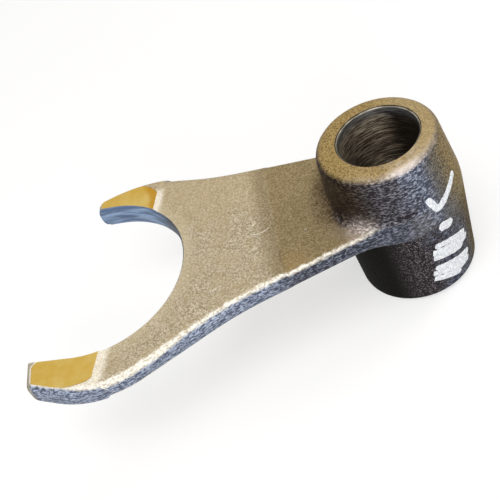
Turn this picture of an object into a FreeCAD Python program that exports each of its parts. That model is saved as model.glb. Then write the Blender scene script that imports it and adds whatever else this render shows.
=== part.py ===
import FreeCAD, Part
import math
import os

# Shift fork, one forging. Millimetres.
# The origin is on the bore's axis at the forging's parting plane.
# Z runs along the bore to the short end of the hub, X to the centre of the fork's gap.

# Hub
bore_diameter = 24.0
bore_lead_in = 0.5
hub_parting_diameter = 39.5
hub_end_taper = 1.9
hub_short_height = 20.25
hub_long_height = 33.0
hub_die_shift = 0.9
hub_short_rim_radius = 3.2
hub_long_rim_radius = 2.2
hub_parting_radius = 30.0
root_cove_short_side = 5.25
root_cove_long_side = 3.85

# Arm, half widths on each side of the X axis
arm_root_angle = 121.5
arm_wrap_x = -3.0
arm_wrap_radius = 14.0
arm_band_height = 0.55
arm_waist_x = 13.0
arm_waist_radius = 60.0
arm_knee_x = 53.5
arm_knee_half_width = 28.4
arm_knee_radius = 95.0
web_thickness = 6.2
step_foot_x = 37.0
step_run = 2.4

# Fork, positions counted from the centre of its gap
gap_centre_x = 96.0
gap_ridge_radius = 29.35
gap_draft_angle = 7.0
gap_edge_break = 0.4
gap_turn_angle = 14.0
fork_thickness = 7.0
long_crown_x = 0.8
long_crown_y = 46.2
long_crown_radius = 33.0
long_tip_x = 22.0
long_tip_outer_y = 34.9
long_tip_inner_y = 24.5
long_tip_outer_radius = 3.6
long_tip_inner_radius = 4.5
short_crown_x = -18.3
short_crown_y = 38.35
short_crown_radius = 45.0
short_tip_x = -1.6
short_tip_outer_y = 34.2
short_tip_inner_y = 29.0
short_tip_outer_radius = 3.4
short_tip_inner_radius = 3.4

# Milled contact flats, the same on both faces
pad_thickness = 7.84
pad_blank_thickness = 8.4
pad_blank_edge_radius = 3.0
long_pad_start_x = -2.0
long_pad_start_y = 29.0
long_pad_shoulder = 2.1
short_pad_start_x = -22.9
short_pad_start_y = -28.0
short_pad_shoulder = 1.4

# Clearances
edge_land = 0.5
root_cove_overlap = 0.6
arm_root_sink = 0.8
past_part = 5.0
level_tolerance = 0.01

hub_end_diameter = hub_parting_diameter - 2 * hub_end_taper
fork_edge_radius = (fork_thickness - edge_land) / 2
web_edge_radius = (web_thickness - edge_land) / 2


def corner_arc(before, corner, after, radius):
    # Tangent length, the two tangent points and the middle of one rounded corner.
    to_before = (before - corner).normalize()
    to_after = (after - corner).normalize()
    half = to_before.getAngle(to_after) / 2
    reach = radius / math.tan(half)
    towards_centre = (to_before + to_after).normalize()
    middle = corner + towards_centre * (radius / math.sin(half) - radius)
    return reach, corner + to_before * reach, middle, corner + to_after * reach


def rounded_loop(corners, height):
    # A closed wire through the corners (x, y, radius), each radius limited to the sides it has.
    points = [FreeCAD.Vector(x, y, height) for x, y, radius in corners]
    radii = [radius for x, y, radius in corners]
    count = len(points)
    reaches = []
    for i in range(count):
        reach = 0.0
        if radii[i] > 0:
            reach = corner_arc(points[i - 1], points[i], points[(i + 1) % count], radii[i])[0]
        reaches.append(reach)
    edges = []
    last = None
    first = None
    for i in range(count):
        before = points[i - 1]
        after = points[(i + 1) % count]
        entry = points[i]
        leave = points[i]
        if radii[i] > 0:
            room_before = points[i].distanceToPoint(before) / (reaches[i] + reaches[i - 1])
            room_after = points[i].distanceToPoint(after) / (reaches[i] + reaches[(i + 1) % count])
            radius = radii[i] * min(1.0, room_before, room_after)
            entry, middle, leave = corner_arc(before, points[i], after, radius)[1:]
        if last is None:
            first = entry
        elif last.distanceToPoint(entry) > Part.Precision.confusion():
            edges.append(Part.makeLine(last, entry))
        if radii[i] > 0:
            edges.append(Part.Arc(entry, middle, leave).toShape())
        last = leave
    edges.append(Part.makeLine(last, first))
    return Part.Wire(edges)


def rounded_plate(corners, thickness, edge_radius):
    # The outline as a plate about the parting plane, its edge rounded over on both faces.
    outline = rounded_loop(corners, -thickness / 2)
    plate = Part.Face(outline).extrude(FreeCAD.Vector(0, 0, thickness))
    rims = [e for e in plate.Edges if abs(abs(e.CenterOfMass.z) - thickness / 2) < edge_land / 2]
    return plate.makeFillet(edge_radius, rims)


def shoulder_wedge(foot, height, run, rise, angle):
    # The room beyond a shoulder that climbs by rise over run on both faces, towards the angle.
    # Below the shoulder's foot it leans back at 45 degrees to the parting plane.
    top = height + rise * past_part / run
    profile = [(-height, 0), (0, height), (past_part, top), (reach, top)]
    profile += [(x, -z) for x, z in reversed(profile[1:])]
    points = [FreeCAD.Vector(x, -reach, z) for x, z in profile]
    room = Part.Face(Part.makePolygon(points + points[:1])).extrude(FreeCAD.Vector(0, 2 * reach, 0))
    room.rotate(FreeCAD.Vector(), FreeCAD.Vector(0, 0, 1), angle)
    room.translate(foot)
    return room


def gap_cutter():
    # A half-round slot with a ridge at the parting plane, draft to both faces and broken edges.
    slope = math.tan(math.radians(gap_draft_angle))
    break_start = fork_thickness / 2 - gap_edge_break
    wall = gap_ridge_radius + slope * break_start
    mouth = wall + gap_edge_break
    corners = [
        (0, 0),
        (gap_ridge_radius, 0),
        (wall, break_start),
        (mouth, fork_thickness / 2),
        (mouth, past_part),
        (0, past_part),
    ]
    corners += [(across, -height) for across, height in reversed(corners[2:])]
    points = [FreeCAD.Vector(0, -across, height) for across, height in corners[1:]]
    section = Part.Face(Part.makePolygon(points + points[:1]))
    turned = section.revolve(FreeCAD.Vector(), FreeCAD.Vector(0, 0, 1), -180)
    wall_side = section.extrude(FreeCAD.Vector(reach, 0, 0))
    other_side = wall_side.mirror(FreeCAD.Vector(), FreeCAD.Vector(0, 1, 0))
    cutter = turned.fuse(wall_side).fuse(other_side).removeSplitter()
    cutter.rotate(FreeCAD.Vector(), FreeCAD.Vector(0, 0, 1), -gap_turn_angle)
    cutter.translate(gap_centre)
    return cutter


def root_room(cove, hub_height, direction):
    # The arm's room on one face, turned about the bore: flat inside the hub, a cove, the web's face.
    face = web_thickness / 2
    draft = hub_end_taper / hub_height
    inner = hub_parting_diameter / 2 - draft * (face + cove) - root_cove_overlap
    foot = inner + cove
    bend = cove * (1 - math.cos(math.radians(45)))
    points = [
        FreeCAD.Vector(inner, 0, direction * (face + cove)),
        FreeCAD.Vector(0, 0, direction * (face + cove)),
        FreeCAD.Vector(),
        FreeCAD.Vector(reach, 0, 0),
        FreeCAD.Vector(reach, 0, direction * face),
        FreeCAD.Vector(foot, 0, direction * face),
    ]
    middle = FreeCAD.Vector(inner + bend, 0, direction * (face + bend))
    edges = [Part.makeLine(start, end) for start, end in zip(points, points[1:])]
    edges.append(Part.Arc(points[-1], middle, points[0]).toShape())
    section = Part.Face(Part.Wire(edges))
    return section.revolve(FreeCAD.Vector(), FreeCAD.Vector(0, 0, 1), 360)


def rim_at(shape, height):
    # The round edges of the shape that lie flat at a height.
    flat = [e for e in shape.Edges if e.BoundBox.ZLength < level_tolerance]
    return [e for e in flat if abs(e.BoundBox.ZMin - height) < level_tolerance]


def hub_half(height, shift, rim_radius):
    # One drafted half of the hub, from the parting plane to its end, the rim rounded.
    parting = Part.Wire(Part.makeCircle(hub_parting_diameter / 2))
    end = Part.Wire(Part.makeCircle(hub_end_diameter / 2, FreeCAD.Vector(shift, 0, height)))
    half = Part.makeLoft([parting, end], True, True)
    return half.makeFillet(rim_radius, rim_at(half, height))


reach = gap_centre_x + long_tip_x
gap_centre = FreeCAD.Vector(gap_centre_x, 0, 0)
arm_root_radius = hub_parting_diameter / 2 - arm_root_sink
arm_root_x = arm_root_radius * math.cos(math.radians(arm_root_angle))
arm_root_half_width = arm_root_radius * math.sin(math.radians(arm_root_angle))
arm_band_half_width = hub_parting_diameter / 2 + arm_band_height
outline = [
    (arm_root_x, -arm_root_half_width, 0),
    (arm_wrap_x, -arm_band_half_width, arm_wrap_radius),
    (arm_waist_x, -arm_band_half_width, arm_waist_radius),
    (arm_knee_x, -arm_knee_half_width, arm_knee_radius),
    (gap_centre_x + short_crown_x, -short_crown_y, short_crown_radius),
    (gap_centre_x + short_tip_x, -short_tip_outer_y, short_tip_outer_radius),
    (gap_centre_x + short_tip_x, -short_tip_inner_y, short_tip_inner_radius),
    (gap_centre_x + long_tip_x, long_tip_inner_y, long_tip_inner_radius),
    (gap_centre_x + long_tip_x, long_tip_outer_y, long_tip_outer_radius),
    (gap_centre_x + long_crown_x, long_crown_y, long_crown_radius),
    (arm_knee_x, arm_knee_half_width, arm_knee_radius),
    (arm_waist_x, arm_band_half_width, arm_waist_radius),
    (arm_wrap_x, arm_band_half_width, arm_wrap_radius),
    (arm_root_x, arm_root_half_width, 0),
]

# Hub: two drafted halves meeting at the parting plane, the short one shifted by the dies.
short_half = hub_half(hub_short_height, hub_die_shift, hub_short_rim_radius)
long_half = hub_half(-hub_long_height, 0, hub_long_rim_radius)
hub = short_half.fuse(long_half).removeSplitter()
hub = hub.makeFillet(hub_parting_radius, rim_at(hub, 0))

# Arm web, thickening to the hub through a cove on each face.
short_side_room = root_room(root_cove_short_side, hub_short_height, 1)
long_side_room = root_room(root_cove_long_side, hub_long_height, -1)
root = short_side_room.fuse(long_side_room).removeSplitter()
blank = Part.Face(rounded_loop(outline, -reach)).extrude(FreeCAD.Vector(0, 0, 2 * reach))
web_end = step_foot_x + step_run + past_part
web_corner = FreeCAD.Vector(arm_root_x, -reach, -reach)
web_room = Part.makeBox(web_end - arm_root_x, 2 * reach, 2 * reach, web_corner)
web = blank.common(web_room).common(root)
flanks = [
    e for e in web.Edges
    if abs(e.CenterOfMass.y) > arm_root_half_width - edge_land
    and abs(e.CenterOfMass.z) > web_thickness / 2 - edge_land
    and arm_root_x + edge_land < e.CenterOfMass.x < web_end - edge_land
]
web = web.makeFillet(web_edge_radius, flanks)
body = hub.fuse(web)

# Fork plate, a little thicker than the web beyond a sloped step on both faces.
fork = rounded_plate(outline, fork_thickness, fork_edge_radius)
step_foot = FreeCAD.Vector(step_foot_x, 0, 0)
step_rise = (fork_thickness - web_thickness) / 2
body = body.fuse(fork.common(shoulder_wedge(step_foot, web_thickness / 2, step_run, step_rise, 0)))

# Contact flats: a thicker blank beyond a sloped shoulder, milled flat on both faces.
pad_blank = rounded_plate(outline, pad_blank_thickness, pad_blank_edge_radius)
milled = Part.makeBox(reach, 2 * reach, pad_thickness, FreeCAD.Vector(0, -reach, -pad_thickness / 2))
pad_blank = pad_blank.common(milled)
pad_rise = (pad_thickness - fork_thickness) / 2
long_foot = gap_centre + FreeCAD.Vector(long_pad_start_x - long_pad_shoulder, long_pad_start_y, 0)
long_room = shoulder_wedge(long_foot, fork_thickness / 2, long_pad_shoulder, pad_rise, -gap_turn_angle)
long_half_space = Part.makeBox(reach, reach, 2 * reach, FreeCAD.Vector(0, 0, -reach))
short_foot = gap_centre + FreeCAD.Vector(short_pad_start_x - short_pad_shoulder, short_pad_start_y, 0)
short_room = shoulder_wedge(short_foot, fork_thickness / 2, short_pad_shoulder, pad_rise, -gap_turn_angle)
short_half_space = Part.makeBox(reach, reach, 2 * reach, FreeCAD.Vector(0, -reach, -reach))
for room, half_space in ((long_room, long_half_space), (short_room, short_half_space)):
    body = body.fuse(pad_blank.common(room).common(half_space))

# Gap between the prongs.
body = body.cut(gap_cutter())

# Bore with a lead-in at each mouth.
bore_radius = bore_diameter / 2
bore_bottom = FreeCAD.Vector(0, 0, -hub_long_height)
body = body.cut(Part.makeCylinder(bore_radius, hub_short_height + hub_long_height, bore_bottom))
mouth_radius = bore_radius + bore_lead_in
for height, direction in ((hub_short_height, -1), (-hub_long_height, 1)):
    mouth = FreeCAD.Vector(0, 0, height)
    inward = FreeCAD.Vector(0, 0, direction)
    body = body.cut(Part.makeCone(mouth_radius, bore_radius, bore_lead_in, mouth, inward))
body = body.removeSplitter()

os.makedirs("parts", exist_ok=True)
body.Solids[0].exportStep("parts/shift_fork.step")
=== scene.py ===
import math

import bpy
from mathutils import Matrix, Vector, noise


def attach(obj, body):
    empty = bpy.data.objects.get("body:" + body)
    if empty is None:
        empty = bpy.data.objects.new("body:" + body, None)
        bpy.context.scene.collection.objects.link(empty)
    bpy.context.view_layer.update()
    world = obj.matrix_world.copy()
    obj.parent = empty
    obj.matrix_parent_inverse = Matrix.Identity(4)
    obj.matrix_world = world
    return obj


MM = 0.001

# Sizes of the solid that the looks refer to, in mm.
BORE_RADIUS = 12.0
MOUTH_RADIUS = 12.5
HUB_PARTING_RADIUS = 19.75
HUB_END_RADIUS = 17.85
HUB_SHORT = 20.25
HUB_LONG = 33.0
HUB_SHIFT = 0.9
GAP_X = 96.0
STEP_FOOT_X = 37.0
STEP_HEAD_X = 39.4
WEB_FACE = 3.1
FORK_FACE = 3.5
PAD_FACE = 3.92

# Where the gold of the milled flats ends, in mm. Each corner has its arc's centre and radius, and
# the soft limits in x and y within which the arc counts.
NEAR_CORNER = ((99.3, 35.6), 4.0, (99.5, 99.3), (35.4, 35.6))
FAR_CORNER = ((83.8, -24.0), 11.8, (81.5, 81.3), (-28.3, -28.5))
TIP_CORNER = ((113.2, 29.2), 2.5, (113.1, 113.3), (29.3, 29.1))
OUTER_ARC = ((100.6, 13.1), 26.5)
PAD_END_X = 115.6

# Where the hub's scale, and then the cove's painted shade in brown, give way to the tan arm:
# ragged circles about this x, each with the soft limits of its radius, in mm.
SCALE_X = -6.0
SCALE_ENDS = (28.0, 24.6)
COVE_SHADE_ENDS = (32.5, 26.5)

# The patch of painted highlight in the near cove: its centre and the soft limits of its radius, in mm.
HIGHLIGHT_PATCH_CENTRE = (12.5, 17.5)
HIGHLIGHT_PATCH_ENDS = (7.0, 1.0)

# A ribbon's mesh: points between two corners, faces across, depth of its rim under the surface in
# mm, the least share of its width at the ends, and how ragged its rim is.
RIBBON_STEPS = 14
RIBBON_FACES = 6
RIBBON_SUNK = 0.03
RIBBON_END = 0.12
RIBBON_RAGGED = 0.16

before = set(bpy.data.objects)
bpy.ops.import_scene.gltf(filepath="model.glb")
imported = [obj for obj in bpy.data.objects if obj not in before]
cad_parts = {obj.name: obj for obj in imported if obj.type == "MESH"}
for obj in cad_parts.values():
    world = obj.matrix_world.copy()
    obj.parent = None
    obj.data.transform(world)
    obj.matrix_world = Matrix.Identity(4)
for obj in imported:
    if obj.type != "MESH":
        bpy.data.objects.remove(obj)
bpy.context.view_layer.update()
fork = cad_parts["shift_fork"]


def linear(red, green, edge_reflection):
    # Linear colour of a display colour written as 0 to 255.
    out = []
    for value in (red, green, edge_reflection):
        share = value / 255
        out.append(share / 12.92 if share <= 0.04045 else ((share + 0.055) / 1.055) ** 2.4)
    return (*out, 1.0)


class Tree:
    """Short names for building the nodes of a material or a world."""

    def __init__(self, owner):
        owner.use_nodes = True
        self.nodes = owner.node_tree.nodes
        self.links = owner.node_tree.links
        self.nodes.clear()

    def node(self, kind, **settings):
        made = self.nodes.new(kind)
        for key, value in settings.items():
            setattr(made, key, value)
        return made

    def plug(self, socket, value):
        # The value is another node's output, a number, or a display colour.
        if isinstance(value, bpy.types.NodeSocket):
            self.links.new(value, socket)
        elif isinstance(value, tuple):
            socket.default_value = linear(*value)
        else:
            socket.default_value = value

    def math(self, operation, first, second=0.0):
        made = self.node("ShaderNodeMath", operation=operation)
        self.plug(made.inputs[0], first)
        self.plug(made.inputs[1], second)
        return made.outputs[0]

    def both(self, first, *others):
        for other in others:
            first = self.math("MULTIPLY", first, other)
        return first

    def either(self, first, *others):
        for other in others:
            first = self.math("MAXIMUM", first, other)
        return first

    def inverse(self, value):
        return self.math("SUBTRACT", 1.0, value)

    def varied(self, value, texture, amount):
        # The value, moved up and down by a texture.
        return self.math("ADD", value, self.both(self.math("SUBTRACT", texture, 0.5), amount))

    def step(self, value, low, high):
        # Rises smoothly from 0 at low to 1 at high; falls where low is above high.
        made = self.node("ShaderNodeMapRange", interpolation_type="SMOOTHSTEP")
        self.plug(made.inputs["Value"], value)
        made.inputs["From Min"].default_value = min(low, high)
        made.inputs["From Max"].default_value = max(low, high)
        made.inputs["To Min"].default_value = 1.0 if low > high else 0.0
        made.inputs["To Max"].default_value = 0.0 if low > high else 1.0
        return made.outputs[0]

    def between(self, value, low, high, soft):
        # 1 from low to high, with both ends softened by this much either way.
        return self.both(self.step(value, low - soft, low + soft),
                         self.step(value, high + soft, high - soft))

    def mix(self, share, first, second):
        # Colour from the first at 0 to the second at 1; sockets 6, 7 and 2 are the node's colours.
        made = self.node("ShaderNodeMix", data_type="RGBA")
        self.plug(made.inputs[0], share)
        self.plug(made.inputs[6], first)
        self.plug(made.inputs[7], second)
        return made.outputs[2]

    def tones(self, texture, low, high, first, second):
        # The first colour where the texture is under low, the second where it is over high.
        return self.mix(self.step(texture, low, high), first, second)

    def blend(self, share, first, second):
        # Number from the first at 0 to the second at 1; sockets 2, 3 and 0 are the node's numbers.
        made = self.node("ShaderNodeMix", data_type="FLOAT")
        self.plug(made.inputs[0], share)
        self.plug(made.inputs[2], first)
        self.plug(made.inputs[3], second)
        return made.outputs[0]

    def parts(self, vector):
        made = self.node("ShaderNodeSeparateXYZ")
        self.plug(made.inputs[0], vector)
        return made.outputs

    def scaled(self, vector, x, y, z):
        made = self.node("ShaderNodeMapping")
        self.plug(made.inputs["Vector"], vector)
        made.inputs["Scale"].default_value = (x, y, z)
        return made.outputs[0]

    def object_mm(self):
        place = self.node("ShaderNodeTexCoord").outputs["Object"]
        return self.scaled(place, 1 / MM, 1 / MM, 1 / MM)

    def noise(self, vector, scale, detail, rough, twist=0.0):
        made = self.node("ShaderNodeTexNoise")
        self.plug(made.inputs["Vector"], vector)
        made.inputs["Scale"].default_value = scale
        made.inputs["Detail"].default_value = detail
        made.inputs["Roughness"].default_value = rough
        made.inputs["Distortion"].default_value = twist
        return made.outputs["Fac"]

    def bump(self, height, distance, strength=1.0):
        made = self.node("ShaderNodeBump")
        made.inputs["Distance"].default_value = distance
        made.inputs["Strength"].default_value = strength
        self.plug(made.inputs["Height"], height)
        return made.outputs[0]

    def seen(self):
        # 1 for rays that see, reflect or look through, 0 for rays that light the fork.
        rays = self.node("ShaderNodeLightPath").outputs
        return self.either(rays["Is Camera Ray"], rays["Is Glossy Ray"], rays["Is Transmission Ray"])

    def show(self, shader, kind="ShaderNodeOutputMaterial"):
        self.plug(self.node(kind).inputs["Surface"], shader.outputs[0])


class Forging(Tree):
    """The forging's nodes: its coordinates in mm, its textures, and masks of where each surface is."""

    def __init__(self, owner):
        super().__init__(owner)
        self.mm = self.object_mm()
        self.x, self.y, self.z = self.parts(self.mm)
        self.nx, _, nz = self.parts(self.node("ShaderNodeTexCoord").outputs["Normal"])
        self.tilt = self.math("ABSOLUTE", nz)
        self.height = self.math("ABSOLUTE", self.z)
        self.lay_textures()
        self.find_hub()
        self.find_step()
        self.find_flats()
        self.find_edges()

    def distance(self, centre_x, centre_y=0.0):
        along = self.math("SUBTRACT", self.x, centre_x)
        across = self.math("SUBTRACT", self.y, centre_y)
        return self.math("SQRT", self.math("ADD", self.both(along, along), self.both(across, across)))

    def corner(self, centre, radius, along, across, soft=0.2):
        # Past an arc, within soft limits in x and y.
        past = self.step(self.distance(*centre), radius, radius + soft)
        return self.both(past, self.both(self.step(self.x, *along), self.step(self.y, *across)))

    def lay_textures(self):
        # Slow stains, leathery relief, blasted grain and small pits, alike in every direction.
        mm = self.mm
        self.stain = self.noise(mm, 0.16, 3.0, 0.6)
        self.leather = self.noise(mm, 1.8, 3.0, 0.6, 0.35)
        self.grain = self.noise(mm, 2.2, 2.0, 0.6)
        self.pits = self.noise(mm, 1.1, 2.0, 0.5)
        # Short strokes round the hub and along the edges, long ones in the gap, marks of turning in
        # the bore and of milling on the flats.
        self.strokes = self.noise(self.scaled(mm, 0.90, 0.90, 2.4), 1.0, 3.0, 0.62, 0.5)
        self.streaks = self.noise(self.scaled(mm, 0.60, 0.60, 2.2), 1.0, 3.0, 0.65)
        self.gap_streaks = self.noise(self.scaled(mm, 0.12, 0.12, 1.1), 1.0, 2.0, 0.5)
        self.turning = self.noise(self.scaled(mm, 0.22, 0.22, 4.2), 1.0, 3.0, 0.65, 0.4)
        self.milling = self.noise(self.scaled(mm, 0.4, 2.4, 1.0), 1.0, 2.0, 0.5)
        self.speck = self.step(self.leather, 0.40, 0.62)
        self.stroke = self.step(self.strokes, 0.46, 0.66)

    def find_hub(self):
        from_axis = self.distance(0.0)
        self.bore = self.step(from_axis, BORE_RADIUS + 0.16, BORE_RADIUS + 0.06)
        mouth = self.step(from_axis, MOUTH_RADIUS + 0.06, MOUTH_RADIUS)
        self.lead_in = self.both(mouth, self.inverse(self.bore))
        self.mouth_line = self.between(from_axis, BORE_RADIUS + 0.06, BORE_RADIUS + 0.24, 0.04)
        root = self.varied(self.varied(self.distance(SCALE_X), self.stain, 5.0), self.strokes, 4.0)
        self.hub = self.step(root, *SCALE_ENDS)
        self.cove_shade = self.step(root, *COVE_SHADE_ENDS)
        self.below = self.step(self.varied(self.z, self.strokes, 2.4), -2.2, -4.4)
        from_highlight_patch = self.varied(self.distance(*HIGHLIGHT_PATCH_CENTRE), self.strokes, 3.0)
        above_arm = self.both(self.step(self.z, 2.2, 2.6), self.step(self.z, 8.5, 3.4))
        self.highlight_patch = self.both(self.step(from_highlight_patch, *HIGHLIGHT_PATCH_ENDS), above_arm)

    def find_step(self):
        # The low step across the arm: painted shade on its slope and at its foot, and the warm web
        # before it.
        x, y = self.x, self.y
        level = self.step(self.tilt, 0.9, 0.95)
        self.web = self.step(x, STEP_FOOT_X + 0.8, STEP_FOOT_X - 0.4)
        self.step_slope_shade = self.both(self.step(x, STEP_HEAD_X + 5.0, STEP_HEAD_X - 1.2),
                                   self.inverse(self.web), level)
        self.step_foot_shade = self.both(self.between(x, STEP_FOOT_X + 0.1, STEP_FOOT_X + 0.4, 0.35),
                                   self.between(y, 12.0, 19.0, 3.0), level)
        self.step_glow = self.both(self.between(x, 29.0, 37.0, 3.0), self.step(y, 12.0, 20.0), level)

    def find_flats(self):
        x, y = self.x, self.y
        self.on_fork = self.step(x, 60.0, 62.0)
        self.near_prong = self.step(y, 15.0, 16.0)
        centre, radius = OUTER_ARC
        outside = self.either(self.step(self.distance(*centre), radius, radius + 0.2),
                              self.step(x, PAD_END_X, PAD_END_X + 0.15))
        ends = self.either(self.corner(*NEAR_CORNER), self.corner(*FAR_CORNER),
                           self.corner(*TIP_CORNER), self.both(outside, self.near_prong))
        self.pad = self.both(self.step(self.height, PAD_FACE - 0.05, PAD_FACE - 0.02),
                             self.step(self.tilt, 0.98, 0.999), self.on_fork, self.inverse(ends))
        # The shoulders run across the prongs a little askew.
        askew = self.math("SUBTRACT", x, self.both(y, 0.25))
        near_foot = self.both(self.step(askew, 82.2, 85.0), self.step(y, 10.0, 12.0))
        far_foot = self.both(self.step(askew, 76.8, 79.0),
                             self.both(self.step(y, -10.0, -12.0), self.step(y, -31.5, -27.5)))
        self.shoulder = self.both(self.math("ADD", near_foot, far_foot),
                                  self.step(self.height, FORK_FACE - 0.12, FORK_FACE - 0.02),
                                  self.inverse(self.pad), self.step(self.tilt, 0.80, 0.93))

    def find_edges(self):
        # Outside the milled flats, the arm's edge runs on round the hub's flanks as a band.
        x, y, height = self.x, self.y, self.height
        flank = self.both(self.step(self.math("ABSOLUTE", y), 17.0, 17.8),
                          self.both(self.step(height, 4.3, 3.7), self.step(x, -12.0, 2.0)))
        on_edge = self.both(self.inverse(self.pad), self.either(self.step(x, 24.0, 27.0), flank),
                            self.step(self.tilt, 0.982, 0.955))
        self.inside_gap = self.both(self.step(self.distance(GAP_X), 31.0, 30.2), self.on_fork)
        rough_tilt = self.varied(self.tilt, self.streaks, 0.26)
        self.edge = self.both(self.step(rough_tilt, 0.965, 0.86), on_edge, self.inverse(self.inside_gap))
        # The edge's painted highlight is wide along the near prong, and narrow at its tip and in the
        # gap.
        wide = self.both(self.between(x, 72.0, 98.0, 6.0), self.step(y, 18.0, 28.0))
        narrow = self.either(self.both(self.step(x, 100.0, 108.0), self.step(y, 26.0, 32.0)),
                             self.inside_gap)
        shift = self.math("SUBTRACT", self.both(wide, 0.24), self.both(narrow, 0.18))
        # The rolled top of the far edge keeps the arm's colour.
        far_top = self.both(self.step(y, -20.0, -24.0), self.step(height, 3.1, 3.4),
                            self.inverse(self.inside_gap))
        self.wall = self.both(self.step(self.math("ADD", rough_tilt, shift), 0.82, 0.58), on_edge,
                              self.inverse(far_top))
        centre, radius, along, across = TIP_CORNER
        past_corner = self.corner(centre, radius + 0.4, along, across, 0.3)
        self.tip = self.either(self.both(self.step(x, 115.8, 116.4), self.near_prong),
                               self.both(past_corner, self.near_prong))


def blasted_top(f):
    # Tan and specked, lighter round the gap, browner on the web, and painted shade darker towards the
    # hub.
    tan = f.mix(f.speck, (154, 138, 108), (209, 197, 174))
    tan = f.mix(f.both(f.step(f.stain, 0.35, 0.65), 0.45), tan, (186, 168, 134))
    tan = f.mix(f.both(f.step(f.y, 2.0, -24.0), 0.35), tan, (192, 170, 128))
    tan = f.mix(f.both(f.step(f.distance(GAP_X), 36.0, 30.5), 0.35), tan, (212, 198, 166))
    tan = f.mix(f.web, tan, f.mix(f.speck, (132, 114, 79), (162, 144, 109)))
    tan = f.mix(f.both(f.step_glow, 0.28), tan, (168, 138, 86))
    # Painted shade on the step's slope, and a darker line of painted shade at its foot.
    tan = f.mix(f.both(f.step_slope_shade, 0.8), tan, f.mix(f.speck, (128, 111, 80), (156, 140, 108)))
    tan = f.mix(f.both(f.step_foot_shade, 0.85), tan, (86, 66, 38))
    tan = f.mix(f.both(f.step(f.grain, 0.60, 0.70), 0.30), tan, (232, 222, 196))
    tan = f.mix(f.both(f.step(f.grain, 0.40, 0.30), 0.30), tan, (84, 70, 46))
    # Painted shade in the cove by the hub: dark brown, lighter towards the near flank.
    cove_shade = f.tones(f.y, 8.0, 15.0, (70, 53, 30), (134, 119, 98))
    cove_shade = f.mix(f.speck, cove_shade, f.mix(0.5, cove_shade, (158, 140, 112)))
    return f.mix(f.cove_shade, tan, cove_shade)


def hub_scale_and_painted_light(f):
    # Dark scale, its short light strokes painted highlights on raised bumps: painted shade in brown
    # towards the arm, painted cool and then gold reflections at the back.
    back = f.both(f.nx, -1.0)
    scale = f.mix(f.stroke, (42, 39, 43), (136, 134, 143))
    # A painted cool reflection in blue grey, on the side turned away from the arm.
    scale = f.mix(f.step(f.varied(back, f.stain, 0.8), -0.05, 0.45), scale,
                  f.mix(f.stroke, (66, 71, 86), (184, 192, 212)))
    # Painted shade in brown on the side towards the arm.
    scale = f.mix(f.step(f.nx, 0.10, 0.70), scale, f.mix(f.stroke, (31, 24, 18), (88, 74, 61)))

    # Under the arm: grained, with a painted cool reflection at the back, and the arm's painted shadow in
    # black on the arm's side.
    boss = f.tones(f.grain, 0.50, 0.66, (38, 34, 36), (132, 124, 128))
    boss = f.mix(f.step(f.varied(back, f.stain, 1.2), 0.1, 0.7), boss,
                 f.mix(f.stroke, (44, 46, 56), (150, 158, 180)))
    boss = f.mix(f.step(f.varied(f.nx, f.grain, 0.4), 0.02, 0.58), boss, (12, 11, 8))
    scale = f.mix(f.below, scale, boss)

    # The back: a painted warm reflection, brown, then golden, both weaker low down.
    lower = f.step(f.z, 4.0, -14.0)
    brown_reflection = f.step(f.varied(back, f.strokes, 0.5), 0.42, 0.74)
    scale = f.mix(f.both(brown_reflection, f.blend(lower, 1.0, 0.25)), scale,
                  f.tones(f.grain, 0.42, 0.60, (66, 61, 54), (136, 128, 112)))
    gold_reflection = f.mix(f.step(f.z, 4.0, -16.0), f.tones(f.grain, 0.42, 0.60, (92, 75, 40), (160, 138, 90)),
                   f.tones(f.grain, 0.42, 0.60, (44, 35, 20), (128, 110, 74)))
    gold_reflection_reach = f.math("SUBTRACT", f.varied(back, f.strokes, 0.4), f.both(lower, 0.06))
    scale = f.mix(f.step(gold_reflection_reach, 0.68, 0.94), scale, gold_reflection)

    # The ring at the short end: gold with small pits.
    ring = f.tones(f.grain, 0.34, 0.62, (120, 97, 53), (170, 146, 96))
    ring = f.mix(f.both(f.step(f.pits, 0.38, 0.32), 0.7), ring, (82, 62, 34))
    ring = f.mix(f.both(f.step(f.x, 2.0, -10.0), 0.3), ring, (190, 172, 136))
    on_ring = f.both(f.step(f.z, 15.6, 18.4), f.step(f.varied(f.tilt, f.strokes, 0.3), 0.52, 0.90))
    scale = f.mix(on_ring, scale, ring)

    # The ring's rounded rim has a painted highlight on the near side.
    near_side = f.both(f.step(f.y, 3.0, 11.0), f.step(f.x, 15.0, 6.0))
    rim_highlight = f.both(f.between(f.varied(f.tilt, f.strokes, 0.35), 0.52, 0.94, 0.14),
                  f.both(f.step(f.z, 15.6, 17.0), near_side))
    brightest = f.between(f.x, -9.0, 0.5, 3.5)
    amount = f.blend(f.stroke, f.blend(brightest, 0.2, 0.6), 0.95)
    return f.mix(f.both(rim_highlight, amount), scale, f.mix(brightest, (178, 166, 153), (238, 227, 222)))


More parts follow.
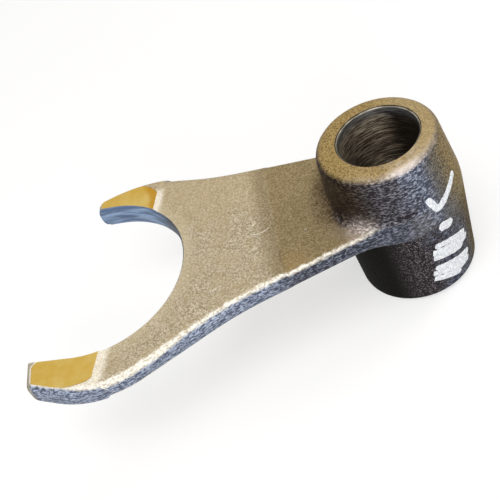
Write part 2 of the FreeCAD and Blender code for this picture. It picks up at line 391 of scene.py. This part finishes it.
def edge_looks(f):
    # The arm's edge has a painted highlight where it turns down, then a painted blue-grey reflection;
    # both darken towards the hub.
    toward_hub = f.step(f.x, 34.0, 6.0)
    at_hub = f.step(f.x, 14.0, 4.0)
    dark_end = f.step(f.x, 46.0, 32.0)
    in_gap = f.tones(f.gap_streaks, 0.36, 0.64, (96, 114, 142), (146, 168, 198))
    in_gap = f.mix(f.both(f.step(f.x, 76.0, 68.0), 0.85), in_gap, (66, 66, 66))
    edge_highlight = f.tones(f.strokes, 0.36, 0.58, (194, 182, 160), (247, 242, 231))
    edge_highlight = f.mix(f.both(f.step(f.y, 4.0, -8.0), 0.8), edge_highlight, (166, 150, 118))
    edge_highlight = f.mix(f.inside_gap, edge_highlight, f.mix(0.5, in_gap, (176, 186, 200)))
    edge_highlight = f.mix(f.both(toward_hub, 0.5), edge_highlight, f.mix(f.stroke, (150, 136, 124), (226, 212, 202)))
    edge_highlight = f.mix(f.both(at_hub, 0.85), edge_highlight, f.mix(f.stroke, (104, 100, 102), (176, 172, 176)))
    edge_reflection = f.tones(f.strokes, 0.40, 0.64, (78, 86, 104), (174, 184, 204))
    edge_reflection = f.mix(f.inside_gap, edge_reflection, in_gap)
    edge_reflection = f.mix(f.both(dark_end, 0.9), edge_reflection, f.mix(f.stroke, (46, 47, 54), (126, 130, 144)))
    return edge_highlight, edge_reflection


def milled_gold(f):
    # The flats, deeper in colour at the far one's inner end.
    gold = f.tones(f.stain, 0.3, 0.7, (195, 160, 72), (203, 175, 100))
    deep = f.both(f.step(f.y, 0.0, -1.0), f.step(f.varied(f.x, f.stain, 3.0), 77.5, 75.0))
    return f.mix(f.both(deep, 0.85), gold, (180, 131, 26))


def bored_wall(f):
    # Fine turning marks, painted light in light brown on the arm's side and painted shade opposite,
    # smooth and grey at the mouth.
    turning = f.turning
    shaded_wall = f.tones(turning, 0.45, 0.7, (36, 30, 25), (84, 74, 62))
    lit_wall = f.tones(turning, 0.46, 0.64, (76, 66, 54), (206, 190, 166))
    wall = f.mix(f.step(f.varied(f.x, turning, 5.0), -7.0, 0.0), shaded_wall, lit_wall)
    at_mouth = f.step(f.varied(f.z, turning, 6.0), 16.0, 19.5)
    return f.mix(f.both(at_mouth, 0.8), wall, f.tones(turning, 0.4, 0.6, (70, 72, 74), (112, 114, 116)))


def forging_colour(f):
    edge_highlight, edge_reflection = edge_looks(f)
    skin = f.mix(f.hub, blasted_top(f), hub_scale_and_painted_light(f))
    # A painted highlight on the near cove, broken by strokes.
    skin = f.mix(f.both(f.highlight_patch, f.blend(f.stroke, 0.25, 1.0)), skin, (214, 199, 190))
    # The edge's painted highlight, then its painted blue-grey reflection below.
    skin = f.mix(f.edge, skin, edge_highlight)
    skin = f.mix(f.wall, skin, edge_reflection)
    # The pads' shoulders in cream, a painted highlight on their slopes.
    skin = f.mix(f.shoulder, skin, f.mix(f.speck, (226, 214, 190), (246, 240, 226)))
    skin = f.mix(f.both(f.tip, 0.8), skin, f.mix(f.speck, (148, 138, 114), (176, 165, 140)))
    skin = f.mix(f.pad, skin, milled_gold(f))
    # The die's small marks stand proud of the arm, with a painted highlight on their tops.
    proud = f.both(f.step(f.height, FORK_FACE + 0.02, FORK_FACE + 0.10), f.between(f.x, 38.0, 60.0, 1.0))
    skin = f.mix(f.both(proud, 0.6), skin, (226, 213, 186))
    skin = f.mix(f.bore, skin, bored_wall(f))
    skin = f.mix(f.lead_in, skin, f.tones(f.stain, 0.4, 0.6, (48, 44, 38), (86, 84, 80)))
    line = f.both(f.mouth_line, f.blend(f.step(f.stain, 0.42, 0.58), 0.4, 0.95))
    return f.mix(line, skin, (222, 210, 184))


def forging_roughness(f):
    rough = f.blend(f.hub, f.blend(f.leather, 0.58, 0.72), f.blend(f.strokes, 0.38, 0.58))
    rough = f.blend(f.both(f.hub, f.below), rough, 0.66)
    rough = f.blend(f.either(f.edge, f.wall), rough, 0.40)
    rough = f.blend(f.pad, rough, 0.36)
    return f.blend(f.bore, rough, 0.38)


def forging_metal(f):
    metal = f.blend(f.hub, 0.10, f.blend(f.below, 0.35, 0.0))
    return f.blend(f.bore, f.blend(f.pad, metal, 0.22), 0.45)


def forging_relief(f):
    # Heights in mm: leathery on the faces, scaly on the hub and edges, with grain over all.
    scaly = f.either(f.hub, f.highlight_patch, f.both(f.edge, 0.5))
    relief = f.both(f.leather, f.blend(scaly, 0.55, 0.12))
    relief = f.math("ADD", relief, f.both(f.strokes, f.blend(scaly, 0.0, 0.60)))
    relief = f.math("ADD", relief, f.both(f.grain, f.blend(f.below, 0.13, 0.17)))
    relief = f.both(relief, f.inverse(f.either(f.pad, f.bore, f.lead_in)))
    relief = f.math("ADD", relief, f.both(f.turning, f.bore, 0.10))
    return f.math("ADD", relief, f.both(f.milling, f.pad, 0.012))


def forged_steel():
    material = bpy.data.materials.new("forged_steel_look")
    f = Forging(material)
    shader = f.node("ShaderNodeBsdfPrincipled")
    f.plug(shader.inputs["Base Color"], forging_colour(f))
    f.plug(shader.inputs["Roughness"], forging_roughness(f))
    f.plug(shader.inputs["Metallic"], forging_metal(f))
    shader.inputs["Specular IOR Level"].default_value = 0.05
    f.plug(shader.inputs["Normal"], f.bump(forging_relief(f), MM))
    f.show(shader)
    return material


def paint_pen_white():
    material = bpy.data.materials.new("paint_pen_white")
    t = Tree(material)
    mm = t.object_mm()
    grain = t.noise(mm, 1.6, 4.0, 0.65)
    thin = t.noise(mm, 0.6, 3.0, 0.6)
    colour = t.tones(grain, 0.40, 0.62, (206, 211, 218), (246, 248, 250))
    colour = t.mix(t.step(thin, 0.60, 0.74), colour, (196, 202, 212))
    shader = t.node("ShaderNodeBsdfPrincipled")
    t.plug(shader.inputs["Base Color"], colour)
    t.plug(shader.inputs["Roughness"], t.blend(grain, 0.42, 0.6))
    t.plug(shader.inputs["Normal"], t.bump(grain, 0.15 * MM, 0.7))
    t.show(shader)
    return material


def studio_paper():
    # Pale paper that takes the fork's shadow; part of what is seen of it glows, to stay near white.
    material = bpy.data.materials.new("studio_floor")
    t = Tree(material)
    mottle = t.noise(t.node("ShaderNodeTexCoord").outputs["Object"], 3.0, 2.0, 0.5)
    seen = t.seen()
    pale = t.mix(t.both(mottle, 0.04), (254, 254, 254), (250, 250, 250))
    paper = t.node("ShaderNodeBsdfDiffuse")
    t.plug(paper.inputs["Color"], t.mix(seen, (214, 212, 208), pale))
    glow = t.node("ShaderNodeEmission")
    t.plug(glow.inputs["Color"], (255, 255, 255))
    lit = t.node("ShaderNodeMixShader")
    t.plug(lit.inputs[0], t.both(seen, 0.55))
    t.plug(lit.inputs[1], paper.outputs[0])
    t.plug(lit.inputs[2], glow.outputs[0])
    # Its underside lets the camera through, so that the fork can be seen from below.
    one_sided = t.node("ShaderNodeMixShader")
    t.plug(one_sided.inputs[0], t.node("ShaderNodeNewGeometry").outputs["Backfacing"])
    t.plug(one_sided.inputs[1], lit.outputs[0])
    t.plug(one_sided.inputs[2], t.node("ShaderNodeBsdfTransparent").outputs[0])
    t.show(one_sided)
    return material


def studio_white():
    # Half a unit of light on the fork, and a white background where it is seen or reflected.
    world = bpy.data.worlds.new("studio")
    t = Tree(world)
    sky = t.node("ShaderNodeBackground")
    t.plug(sky.inputs["Color"], (255, 255, 255))
    t.plug(sky.inputs["Strength"], t.blend(t.seen(), 0.50, 1.0))
    t.show(sky, "ShaderNodeOutputWorld")
    return world


def new_piece(name, verts, faces, material):
    mesh = bpy.data.meshes.new(name)
    mesh.from_pydata(verts, [], faces)
    mesh.validate()
    mesh.polygons.foreach_set("use_smooth", [True] * len(mesh.polygons))
    mesh.materials.append(material)
    piece = bpy.data.objects.new(name, mesh)
    bpy.context.collection.objects.link(piece)
    return piece


def hub_point(along, z, lift):
    # A point over the hub's side, in mm, with along counted round the parting and lift outwards.
    length = HUB_SHORT if z > 0 else HUB_LONG
    radius = HUB_PARTING_RADIUS - (HUB_PARTING_RADIUS - HUB_END_RADIUS) * abs(z) / length
    shift = HUB_SHIFT * max(z, 0) / HUB_SHORT
    angle = along / HUB_PARTING_RADIUS
    return Vector((shift + (radius + lift) * math.cos(angle), (radius + lift) * math.sin(angle), z))


def arm_point(x, y, lift):
    # A point over the arm's upper face, in mm, with lift counted upwards.
    share = min(max((x - STEP_FOOT_X) / (STEP_HEAD_X - STEP_FOOT_X), 0.0), 1.0)
    return Vector((x, y, WEB_FACE + (FORK_FACE - WEB_FACE) * share + lift))


def smooth_path(corners):
    # Points along a soft curve through the corners (Catmull-Rom).
    points = []
    padded = [corners[0], *corners, corners[-1]]
    for i in range(len(corners) - 1):
        a, b, c, d = (Vector(p) for p in padded[i:i + 4])
        for k in range(RIBBON_STEPS):
            u = k / RIBBON_STEPS
            points.append(0.5 * (2 * b + (c - a) * u + (2 * a - 5 * b + 4 * c - d) * u * u
                                 + (3 * b - a - 3 * c + d) * u ** 3))
    points.append(Vector(corners[-1]))
    return points


def ribbon(name, corners, width, crown, onto, material):
    # A thin crowned ribbon with a ragged rim, laid on a surface and round at both ends.
    path = smooth_path(corners)
    verts = []
    for i, here in enumerate(path):
        ahead = path[min(i + 1, len(path) - 1)]
        behind = path[max(i - 1, 0)]
        along = (ahead - behind).normalized()
        side = Vector((-along.y, along.x))
        inward = min((here - path[0]).length, (here - path[-1]).length) * 2 / width
        round_end = math.sqrt(1 - (1 - min(inward, 1.0)) ** 2)
        half = width / 2 * max(round_end, RIBBON_END)
        for k in range(RIBBON_FACES + 1):
            u = 2 * k / RIBBON_FACES - 1
            seed = Vector((here.x * 0.9, here.y * 0.9, u * 0.8 + len(name)))
            ragged = 1 + RIBBON_RAGGED * noise.noise(seed * 1.3) * abs(u)
            spot = here + side * (u * half * ragged)
            verts.append(tuple(onto(spot.x, spot.y, crown * (1 - u ** 4) - RIBBON_SUNK) * MM))
    row = RIBBON_FACES + 1
    faces = []
    for i in range(len(path) - 1):
        for a in range(i * row, i * row + RIBBON_FACES):
            faces.append((a, a + 1, a + row + 1, a + row))
    return new_piece(name, verts, faces, material)


def lay_ribbons(strokes, crown, onto, material):
    # Each stroke has its corners and its width; the crown is its height in the middle, in mm.
    for name, (corners, width) in strokes.items():
        piece = ribbon(name, corners, width, crown, onto, material)
        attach(piece, "root")


def area_light(name, location, target, size, power, colour):
    data = bpy.data.lights.new(name, "AREA")
    data.shape = "DISK"
    data.size = size
    data.energy = power
    data.color = colour
    light = bpy.data.objects.new(name, data)
    aim = Vector(target) - Vector(location)
    light.rotation_euler = aim.to_track_quat("-Z", "Y").to_euler()
    light.location = location
    bpy.context.collection.objects.link(light)


# The forging.
steel = forged_steel()
for slot in fork.material_slots:
    slot.material = steel

# White inspection strokes on the hub's side: azimuth in degrees and height in mm, then the width.
paint = {
    "paint_tick": ([(113, 7.2), (116, 4.6), (119, 2.2), (126, 2.6), (138, 4.4), (152, 6.4)], 2.4),
    "paint_dab": ([(115, -4.6), (122, -5.9), (130, -6.4)], 3.6),
    "paint_scribble": ([(106, -11.6), (124, -13.2), (141, -15.6), (126, -15.4), (104, -13.8),
                        (121, -15.6), (143, -18.0), (122, -17.6), (103, -16.0), (118, -17.6),
                        (136, -19.4)], 2.2),
    "paint_scribble_low": ([(101, -20.6), (119, -22.2), (141, -24.4), (120, -24.2), (99, -22.6),
                            (116, -24.4), (139, -26.8), (117, -26.6), (99, -25.0), (112, -26.8),
                            (127, -28.6)], 2.2),
}
degree = math.radians(1) * HUB_PARTING_RADIUS
strokes = {name: ([(azimuth * degree, z) for azimuth, z in corners], width)
           for name, (corners, width) in paint.items()}
lay_ribbons(strokes, 0.11, hub_point, paint_pen_white())

# Small marks raised on the arm by the forging die: x and y in mm, then the width.
marks = {
    "die_mark_a": ([(43.9, 0.7), (43.3, 0.3), (42.5, -0.2)], 0.85),
    "die_mark_b": ([(44.8, 3.8), (43.6, 4.5), (42.4, 4.8), (40.4, 4.6), (38.7, 3.6)], 0.50),
    "die_mark_c": ([(44.5, 4.9), (43.2, 5.7), (42.3, 6.7), (41.7, 8.1)], 0.38),
    "die_mark_d": ([(45.2, 10.2), (44.1, 10.5), (43.0, 10.4)], 0.55),
    "die_mark_e": ([(44.4, 12.7), (43.6, 12.5), (42.9, 12.0)], 0.42),
    "die_mark_f": ([(60.0, 21.2), (58.6, 21.2), (57.0, 20.7)], 0.50),
    "die_mark_g": ([(28.9, 8.9), (28.4, 9.0), (27.8, 9.1)], 0.45),
    "die_mark_h": ([(52.8, 5.9), (52.2, 5.8), (51.7, 5.7)], 0.45),
}
lay_ribbons(marks, 0.16, arm_point, steel)

# Floor, just under the hub's long end so that the two faces don't fight.
half_side = 4.0
floor_z = -(HUB_LONG + 0.05) * MM
floor_corners = [(-half_side, -half_side, floor_z), (half_side, -half_side, floor_z),
                 (half_side, half_side, floor_z), (-half_side, half_side, floor_z)]
floor = new_piece("studio_floor", floor_corners, [(0, 1, 2, 3)], studio_paper())

# Camera, from the photograph's circles and edges: its turns in degrees and its place in mm.
azimuth, elevation, roll = (math.radians(v) for v in (192.703, 43.319, -27.460))
eye = Vector((-1.33, 218.26, 204.59))
back = Vector((math.sin(azimuth) * math.cos(elevation), -math.cos(azimuth) * math.cos(elevation),
               math.sin(elevation)))
right = Vector((math.cos(azimuth), math.sin(azimuth), 0))
up = back.cross(right)
rolled_right = math.cos(roll) * right + math.sin(roll) * up
rolled_up = -math.sin(roll) * right + math.cos(roll) * up
camera_data = bpy.data.cameras.new("camera")
camera_data.sensor_width = 36.0
camera_data.lens = 72.05
camera_data.clip_start = 0.01
camera = bpy.data.objects.new("camera", camera_data)
turned = Matrix((rolled_right, rolled_up, back)).transposed().to_4x4()
camera.matrix_world = Matrix.Translation(eye * MM) @ turned
bpy.context.collection.objects.link(camera)
bpy.context.scene.camera = camera

# Soft studio light: place, target and size in m, power in W.
area_light("key", (0.13, 0.34, 0.80), (0.04, 0, 0), 0.70, 3.9, (1.0, 0.985, 0.96))
area_light("front", (-0.05, 0.90, 0.30), (0.04, 0, 0), 0.5, 3.2, (0.93, 0.96, 1.0))
area_light("rim", (-0.60, -0.35, 0.55), (0.0, 0, 0), 0.4, 2.0, (1.0, 0.95, 0.86))
bpy.context.scene.world = studio_white()
bpy.context.scene.view_settings.view_transform = "Standard"
